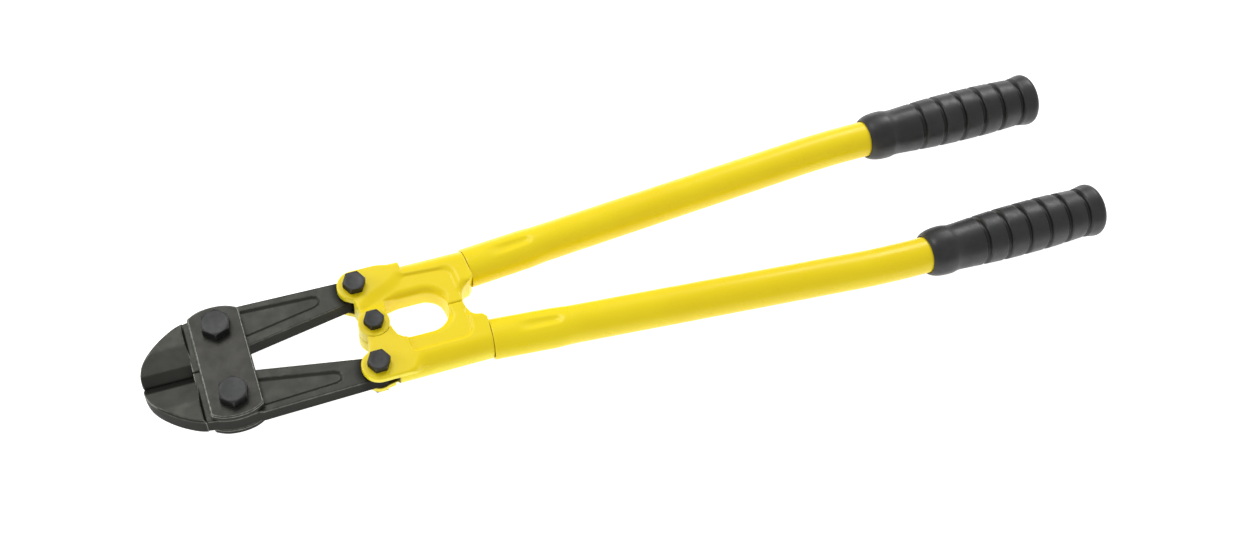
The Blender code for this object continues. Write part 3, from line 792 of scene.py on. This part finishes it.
def tubeTree():
    labels = ("Radius", "Spacing", "Crimp Width", "Crimp Height", "Crimp End", "Run Out")
    labels += ("Dimple Start", "Dimple Length", "Dimple Width", "Dimple Depth")
    kinds = {"Segments": "Int", **{label: "Float" for label in labels}}
    tree, given = newTree("pressedTube", kinds)
    inputs = {"Curve": given["Geometry"], "Length": given["Spacing"]}
    evenly = addNode(tree, "GeometryNodeResampleCurve", inputs, mode="LENGTH")
    keep = tree.nodes.new("GeometryNodeCaptureAttribute")
    for kind, label in (("VECTOR", "Middle"), ("VECTOR", "Heading"), ("FLOAT", "Distance")):
        keep.capture_items.new(kind, label)
    heading = tree.nodes.new("GeometryNodeInputTangent").outputs[0]
    lengths = tree.nodes.new("GeometryNodeSplineParameter").outputs["Length"]
    tree.links.new(evenly.outputs[0], keep.inputs["Geometry"])
    tree.links.new(positionNode(tree), keep.inputs["Middle"])
    tree.links.new(heading, keep.inputs["Heading"])
    tree.links.new(lengths, keep.inputs["Distance"])
    inputs = {"Resolution": given["Segments"], "Radius": given["Radius"]}
    ring = addNode(tree, "GeometryNodeCurvePrimitiveCircle", inputs)
    inputs = {"Curve": keep.outputs["Geometry"], "Profile Curve": ring.outputs["Curve"]}
    pipe = addNode(tree, "GeometryNodeCurveToMesh", inputs)
    middle, distance = keep.outputs["Middle"], keep.outputs["Distance"]
    across = vectorNode(tree, "CROSS_PRODUCT", (0, 0, 1), keep.outputs["Heading"])
    across = vectorNode(tree, "NORMALIZE", across)
    offset = vectorNode(tree, "SUBTRACT", positionNode(tree), middle)
    runOutEnd = mathNode(tree, "ADD", given["Crimp End"], given["Run Out"])
    squeeze = rangeNode(tree, distance, given["Crimp End"], runOutEnd, 1.0, 0.0)

    def squeezed(value, size):
        change = mathNode(tree, "SUBTRACT", mathNode(tree, "DIVIDE", size, given["Radius"]), 1.0)
        factor = mathNode(tree, "MULTIPLY_ADD", change, squeeze, 1.0)
        return mathNode(tree, "MULTIPLY", value, factor)

    sideways = squeezed(vectorNode(tree, "DOT_PRODUCT", offset, across), given["Crimp Width"])
    upward = squeezed(separate(tree, offset)[2], given["Crimp Height"])
    # t runs from 0 to 1 along the dimple, which gets shallower and narrower on its way
    t = mathNode(tree, "SUBTRACT", distance, given["Dimple Start"])
    t = mathNode(tree, "DIVIDE", t, given["Dimple Length"])
    opening = rangeNode(tree, t, 0.0, tubeLook["dimpleRise"])
    closing = rangeNode(tree, t, tubeLook["dimpleFall"], 1.0, 1.0, 0.0)
    opened = mathNode(tree, "MULTIPLY", opening, closing)
    shallower = mathNode(tree, "MULTIPLY_ADD", t, -tubeLook["dimpleShallower"], 1.0)
    narrower = mathNode(tree, "MULTIPLY_ADD", t, -tubeLook["dimpleNarrower"], 1.0)
    width = mathNode(tree, "MULTIPLY", given["Dimple Width"], narrower)
    reach = mathNode(tree, "DIVIDE", mathNode(tree, "ABSOLUTE", sideways), width)
    onTop = mathNode(tree, "GREATER_THAN", upward, 0.0)
    press = mathNode(tree, "MULTIPLY", rangeNode(tree, reach, 0.1, 1.0, 1.0, 0.0), onTop)
    press = mathNode(tree, "MULTIPLY", mathNode(tree, "MULTIPLY", press, opened), shallower)
    sunk = mathNode(tree, "MULTIPLY", press, given["Dimple Depth"])
    upward = mathNode(tree, "SUBTRACT", upward, sunk)
    spread = scaledNode(tree, across, sideways)
    spread = vectorNode(tree, "ADD", spread, combine(tree, 0.0, 0.0, upward))
    inputs = {"Geometry": pipe.outputs[0], "Position": vectorNode(tree, "ADD", middle, spread)}
    shaped = addNode(tree, "GeometryNodeSetPosition", inputs)
    closeTree(tree, shaped.outputs[0], materials["yellowEnamel"])
    return tree


def markEdges(piece):  # the edge value of a piece that isn't sculpted
    shape = bmesh.new()
    shape.from_mesh(piece.data)
    values = np.full(len(shape.verts), 0.5, np.float32)
    for line in shape.edges:
        turn = line.calc_face_angle_signed(0)
        for vert in line.verts:
            values[vert.index] = max(values[vert.index], min(0.5 + turn * 0.22, 0.95))
    shape.free()
    storeMark(piece, "edge", values)


def outwards(piece):
    shape = bmesh.new()
    shape.from_mesh(piece.data)
    bmesh.ops.remove_doubles(shape, verts=shape.verts, dist=1e-6)
    bmesh.ops.recalc_face_normals(shape, faces=shape.faces)
    shape.to_mesh(piece.data)
    shape.free()
    piece.data.shade_smooth()
    return piece


def addModifier(piece, kind, **settings):
    modifier = piece.modifiers.new(kind.lower(), kind)
    for key, value in settings.items():
        setattr(modifier, key, value)


pressedTube = tubeTree()
for word, side in sides.items():
    look = tubeLook
    values = {
        "Segments": look["segments"], "Radius": look["radius"] * mm,
        "Spacing": look["spacing"] * mm, "Run Out": look["runOut"] * mm,
        "Crimp Width": look["crimpWidth"] * mm, "Crimp Height": look["crimpHeight"] * mm,
        "Crimp End": look["crimpEnd"] * mm,
        "Dimple Start": look["dimpleStart"] * mm, "Dimple Length": look["dimpleLength"] * mm,
        "Dimple Width": look["dimpleWidth"] * mm, "Dimple Depth": look["dimpleDepth"] * mm,
    }
    path = pathCurve(word + "TubePath", [onSide(point, side) for point in tubePath()])
    tube = outwards(madeFrom(pressedTube, word + "HandleTube", values, path))
    markEdges(tube)
    wall = {"thickness": look["wall"] * mm, "offset": -1.0, "use_even_offset": True}
    addModifier(tube, "SOLIDIFY", **wall)
    bevel = {"width": look["mouthBevel"] * mm, "segments": 2, "limit_method": "ANGLE"}
    addModifier(tube, "BEVEL", angle_limit=math.radians(60), **bevel)
    dress(tube, word + "_handle", [word + "_handle_tube"], "yellowEnamel")
    print(tube.name, "made:", len(tube.data.polygons), "faces before its wall")


def turned(name, profile, middle, axis, segments, closed=False, turn=0.0):
    # profile is (distance along the axis, radius), where an end at radius 0 is a single point
    points, rings = [], []
    for distance, radius in profile:
        ring = []
        for step in range(1 if radius == 0 else segments):
            angle = math.radians(turn) + 2 * math.pi * step / segments
            flat = (radius * math.cos(angle), radius * math.sin(angle))
            spot = (distance, *flat) if axis == "x" else (*flat, distance)
            ring.append(len(points))
            points.append(tuple(a + b for a, b in zip(middle, spot)))
        rings.append(ring)
    faces = []
    for near, far in zip(rings, rings[1:] + (rings[:1] if closed else [])):
        for step in range(segments):
            after = step + 1
            corners = [(near, step), (near, after), (far, after), (far, step)]
            corners = [ring[at % segments % len(ring)] for ring, at in corners]
            faces.append(list(dict.fromkeys(corners)))
    return outwards(placed(name, points, faces))


# outer is the grip's outline from its mouth: (distance, radius)
gripLook = {
    "mouth": 347.0, "length": 127.5, "boreEnd": 120.5, "bore": 12.0, "segments": 88,
    "spacing": 0.45, "lip": [(0.5, 12.0), (0.1, 12.25), (0.15, 12.55)], "endRing": 8.0,
    "outer": [
        (0.7, 12.9), (2.0, 13.9), (4.5, 14.9), (8.0, 15.6), (12.0, 15.9), (15.5, 15.8),
        (18.0, 15.3), (20.5, 15.0), (24.0, 15.05), (30.0, 15.4), (38.0, 15.9), (54.0, 16.7),
        (72.0, 17.0), (90.0, 17.0), (104.0, 16.5), (112.0, 16.15), (116.5, 16.35), (120.0, 16.95),
        (122.6, 17.36), (124.3, 17.3), (125.7, 16.7), (126.7, 15.6), (127.3, 14.2), (127.5, 12.6),
    ],
    "grooves": 6, "firstGroove": 39.0, "pitch": 15.0, "grooveWidth": 3.9, "grooveDepth": 2.2,
    "grooveFloor": 0.45,
}


def gripTree():
    labels = ("Mouth", "Middle", "Height", "Bore", "First Groove", "Pitch", "Groove Width")
    labels += ("Groove Depth",)
    kinds = {"Grooves": "Int", **{label: "Float" for label in labels}}
    tree, given = newTree("ringGrooves", kinds)
    x, y, z = separate(tree, positionNode(tree))
    offsetY = mathNode(tree, "SUBTRACT", y, given["Middle"])
    offsetZ = mathNode(tree, "SUBTRACT", z, given["Height"])
    radial = combine(tree, 0.0, offsetY, offsetZ)
    fromMouth = mathNode(tree, "SUBTRACT", x, given["Mouth"])
    fromFirst = mathNode(tree, "SUBTRACT", fromMouth, given["First Groove"])
    number = mathNode(tree, "ROUND", mathNode(tree, "DIVIDE", fromFirst, given["Pitch"]))
    last = mathNode(tree, "SUBTRACT", given["Grooves"], 1.0)
    number = mathNode(tree, "MINIMUM", mathNode(tree, "MAXIMUM", number, 0.0), last)
    nearest = mathNode(tree, "MULTIPLY", number, given["Pitch"])
    away = mathNode(tree, "ABSOLUTE", mathNode(tree, "SUBTRACT", fromFirst, nearest))
    share = mathNode(tree, "DIVIDE", away, mathNode(tree, "DIVIDE", given["Groove Width"], 2.0))
    skin = mathNode(tree, "ADD", given["Bore"], mm)
    outside = mathNode(tree, "GREATER_THAN", vectorNode(tree, "LENGTH", radial), skin)
    wall = rangeNode(tree, share, gripLook["grooveFloor"], 1.0, 1.0, 0.0)
    sunk = mathNode(tree, "MULTIPLY", wall, outside)
    inward = mathNode(tree, "MULTIPLY", given["Groove Depth"], -1.0)
    inward = mathNode(tree, "MULTIPLY", sunk, inward)
    move = scaledNode(tree, vectorNode(tree, "NORMALIZE", radial), inward)
    # the stored groove mask also places the painted shade in the grooves
    inputs = {"Geometry": given["Geometry"], "Name": "grooveShade", "Value": sunk}
    marked = addNode(tree, "GeometryNodeStoreNamedAttribute", inputs)
    inputs = {"Geometry": marked.outputs[0], "Offset": move}
    shaped = addNode(tree, "GeometryNodeSetPosition", inputs)
    closeTree(tree, shaped.outputs[0], materials["gripRubber"])
    return tree


def evenStations(line, spacing):
    line = np.array(line)
    run = np.concatenate([[0], np.cumsum(np.hypot(*np.diff(line, axis=0).T))])
    at = np.linspace(0, run[-1], int(run[-1] / spacing) + 1)
    return list(zip(np.interp(at, run, line[:, 0]), np.interp(at, run, line[:, 1])))


ringGrooves = gripTree()
for word, side in sides.items():
    look = gripLook
    outer = evenStations(throughPoints(look["outer"], 6), look["spacing"])
    profile = [(look["boreEnd"], 0), (look["boreEnd"], look["bore"]), *look["lip"], *outer]
    profile += [(look["length"], look["endRing"]), (look["length"], 0)]
    middle = (look["mouth"], side * tubeLook["gripY"], 0)
    blank = turned(word + "GripBlank", profile, middle, "x", look["segments"])
    values = {
        "Mouth": look["mouth"] * mm + centre.x, "Middle": middle[1] * mm, "Height": centre.z,
        "Bore": look["bore"] * mm, "First Groove": look["firstGroove"] * mm,
        "Grooves": look["grooves"], "Pitch": look["pitch"] * mm,
        "Groove Width": look["grooveWidth"] * mm, "Groove Depth": look["grooveDepth"] * mm,
    }
    grip = madeFrom(ringGrooves, word + "RubberGrip", values, blank)
    dress(grip, word + "_handle", [word + "_grip"], "gripRubber")
    print(grip.name, "made:", len(grip.data.polygons), "faces")


# Heights are from the tool's middle plane: the head sits at seat, the nut at -nutTop
boltLooks = {
    "jaw": {
        "flats": 15.4, "thread": 5.0, "seat": 11.55, "top": 17.4, "nutTop": 13.05, "end": 17.4,
        "turn": 20,
    },
    "toggle": {
        "flats": 12.0, "thread": 4.0, "seat": 11.3, "top": 16.5, "nutTop": 11.3, "end": 14.1,
        "turn": 0,
    },
    "centre": {
        "flats": 10.8, "thread": 3.5, "seat": 11.3, "top": 15.7, "nutTop": 11.3, "end": 14.1,
        "turn": 0,
    },
}
fastenerLook = {
    "segments": 120, "sharpAngle": 24, "flatShare": 0.96, "chamferTan": 0.28,
    "dish": 0.15, "dishWall": (0.35, 0.9), "underChamfer": (0.25, 0.3), "threadChamfer": 0.6,
    "clearance": 0.3, "edge": 0.3, "boreChamfer": 0.5, "washer": 1.2, "washerRim": 1.2,
}


def hexTree():
    kinds = {"Middle": "Vector", "Flats": "Float", "Turn": "Float", "Low": "Float", "High": "Float"}
    tree, given = newTree("hexagonMill", kinds)
    x, y, z = separate(tree, vectorNode(tree, "SUBTRACT", positionNode(tree), given["Middle"]))
    radial = combine(tree, x, y, 0.0)
    radius = vectorNode(tree, "LENGTH", radial)
    angle = mathNode(tree, "SUBTRACT", mathNode(tree, "ARCTAN2", y, x), given["Turn"])
    sector = math.pi / 3
    angle = mathNode(tree, "FLOORED_MODULO", angle, sector)
    fromFlat = mathNode(tree, "SUBTRACT", angle, sector / 2)
    reach = mathNode(tree, "DIVIDE", given["Flats"], 2.0)
    reach = mathNode(tree, "DIVIDE", reach, mathNode(tree, "COSINE", fromFlat))
    cutBack = mathNode(tree, "MINIMUM", mathNode(tree, "SUBTRACT", reach, radius), 0.0)
    above = mathNode(tree, "GREATER_THAN", z, given["Low"])
    below = mathNode(tree, "LESS_THAN", z, given["High"])
    cutBack = mathNode(tree, "MULTIPLY", cutBack, mathNode(tree, "MULTIPLY", above, below))
    move = scaledNode(tree, vectorNode(tree, "NORMALIZE", radial), cutBack)
    inputs = {"Geometry": given["Geometry"], "Offset": move}
    shaped = addNode(tree, "GeometryNodeSetPosition", inputs)
    closeTree(tree, shaped.outputs[0], materials["boltSteel"])
    return tree


hexagonMill = hexTree()


def milled(blank, name, size, pivot, low, high):
    values = {
        "Middle": pivot * mm + centre, "Flats": size["flats"] * mm,
        "Turn": math.radians(size["turn"]), "Low": (low - 0.05) * mm, "High": (high + 0.05) * mm,
    }
    piece = madeFrom(hexagonMill, name, values, blank)
    piece.data.set_sharp_from_angle(angle=math.radians(fastenerLook["sharpAngle"]))
    markEdges(piece)
    return piece


def chamferRings(size, face, away):  # from a face's rim to the corners; away is where it looks
    look = fastenerLook
    corner = size["flats"] / math.sqrt(3)
    flat = size["flats"] / 2 * look["flatShare"]
    radii = np.linspace(flat, corner, 9)
    return [(face - away * (radius - flat) * look["chamferTan"], radius) for radius in radii]


def boltBlank(name, size, pivot):
    look = fastenerLook
    top, seat, thread, end = size["top"], size["seat"], size["thread"], size["end"]
    flat = size["flats"] / 2 * look["flatShare"]
    dished = [(top - look["dish"], 0)]
    for share in np.linspace(0.1, 0.92, 9):
        sunk = look["dish"] * (1 - smoothStep(share, *look["dishWall"]))
        dished.append((top - sunk, flat * share))
    rings = chamferRings(size, top, 1)
    corner = rings[-1][1]
    up, across = look["underChamfer"]
    tip = look["threadChamfer"]
    profile = [
        *dished, *rings, (seat + up, corner), (seat, corner - across), (seat, thread),
        (-end + tip, thread), (-end, thread - tip), (-end, 0),
    ]
    return turned(name + "Blank", profile, pivot, "z", look["segments"], turn=size["turn"])


def ringBlank(name, size, pivot, low, high, outer, rimRings=None):
    look = fastenerLook
    bore, edge, chamfer = size["thread"] + look["clearance"], look["edge"], look["boreChamfer"]
    rim = rimRings or [(low, outer - edge), (low + edge, outer)]
    profile = [
        (low, bore + chamfer), *rim, (high - edge, outer), (high, outer - edge),
        (high, bore + 0.2), (high - 0.2, bore), (low + chamfer, bore),
    ]
    segments, turn = look["segments"], size["turn"]
    return turned(name + "Blank", profile, pivot, "z", segments, closed=True, turn=turn)


def fastener(node, kind, pivot, body):
    size, look = boltLooks[kind], fastenerLook
    blank = boltBlank(node, size, pivot)
    piece = milled(blank, node + "HexBolt", size, pivot, size["seat"], size["top"])
    dress(piece, body, [node + "_bolt"], "boltSteel")
    low, high = -size["end"], -size["nutTop"]
    rings = chamferRings(size, low, -1)
    blank = ringBlank(node + "Nut", size, pivot, low, high, rings[-1][1], rings)
    piece = milled(blank, node + "HexNut", size, pivot, low, high)
    dress(piece, body, [node + "_nut"], "boltSteel")
    if kind == "jaw":
        top = -size["nutTop"] + look["clearance"] + look["washer"]
        outer = size["flats"] / 2 + look["washerRim"]
        blank = ringBlank(node + "Washer", size, pivot, top - look["washer"], top, outer)
        piece = milled(blank, node + "PlainWasher", size, pivot, 50, 60)  # above it, so no flats
        dress(piece, body, [node + "_washer"], "boltSteel")


for word, side in sides.items():
    fastener(word + "_jaw", "jaw", onSide(jawPivot, side), "side_plates")
    fastener(word + "_toggle", "toggle", onSide(toggle, side), word + "_handle")
fastener("centre_pivot", "centre", Vector((0, 0, 0)), "lower_handle")
print("fasteners made")


stageLook = {
    "floorSize": 30.0, "floorColour": (0.6, 0.6, 0.6), "floorTint": (0.58, 0.58, 0.58),
    "floorGlow": 1.0, "sky": 0.61,
}
lamps = {
    "keyPanel": {"place": (-0.38, 0.8, 1.42), "size": 0.8, "power": 7.5},
    "sidePanel": {"place": (-1.3, 0.5, 0.4), "size": 0.6, "power": 5.0},
    "gripPanel": {"place": (1.0, 1.0, 1.0), "size": 0.7, "power": 8.5},
}
cameraLook = {
    "place": (-0.26444, -0.41874, 0.80792), "lens": 43.69, "sensor": 36.0,
    "right": (0.932387, -0.343834, 0.111504), "up": (0.243801, 0.825961, 0.508282),
}

half = stageLook["floorSize"] / 2
floorMesh = bpy.data.meshes.new("floor")
corners = [(x * half, y * half, cadLow.z) for x, y in ((-1, -1), (1, -1), (1, 1), (-1, 1))]
floorMesh.from_pydata(corners, [], [(0, 1, 2, 3)])
floor = addObject("floor", floorMesh)
paper, paperTree, paperShader = newMaterial("paleFloor")
tint = rangeNode(paperTree, noiseNode(paperTree, 1.5, 2), 0.3, 0.7, 0.0, 0.2)
paperColour = mixColour(paperTree, tint, stageLook["floorColour"], stageLook["floorTint"])
paperTree.links.new(paperColour, paperShader.inputs["Base Color"])
paperShader.inputs["Roughness"].default_value = 0.8
paperShader.inputs["Emission Color"].default_value = (1, 1, 1, 1)
paperShader.inputs["Emission Strength"].default_value = stageLook["floorGlow"]
floorMesh.materials.append(paper)

world = bpy.data.worlds.new("studio")
bpy.context.scene.world = world
world.use_nodes = True
world.node_tree.nodes["Background"].inputs["Color"].default_value = (1, 1, 1, 1)
world.node_tree.nodes["Background"].inputs["Strength"].default_value = stageLook["sky"]
for name, lamp in lamps.items():
    data = bpy.data.lights.new(name, "AREA")
    data.shape, data.size, data.energy = "DISK", lamp["size"], lamp["power"]
    panel = addObject(name, data)
    panel.location = lamp["place"]
    panel.rotation_euler = (-Vector(lamp["place"])).to_track_quat("-Z", "Y").to_euler()

cameraData = bpy.data.cameras.new("camera")
cameraData.lens, cameraData.sensor_width = cameraLook["lens"], cameraLook["sensor"]
camera = addObject("camera", cameraData)
right, up = Vector(cameraLook["right"]), Vector(cameraLook["up"])
facing = Matrix((right, up, right.cross(up))).transposed()
camera.matrix_world = Matrix.Translation(cameraLook["place"]) @ facing.to_4x4()
bpy.context.scene.camera = camera
bpy.context.scene.view_settings.view_transform = "Standard"
print("stage set")
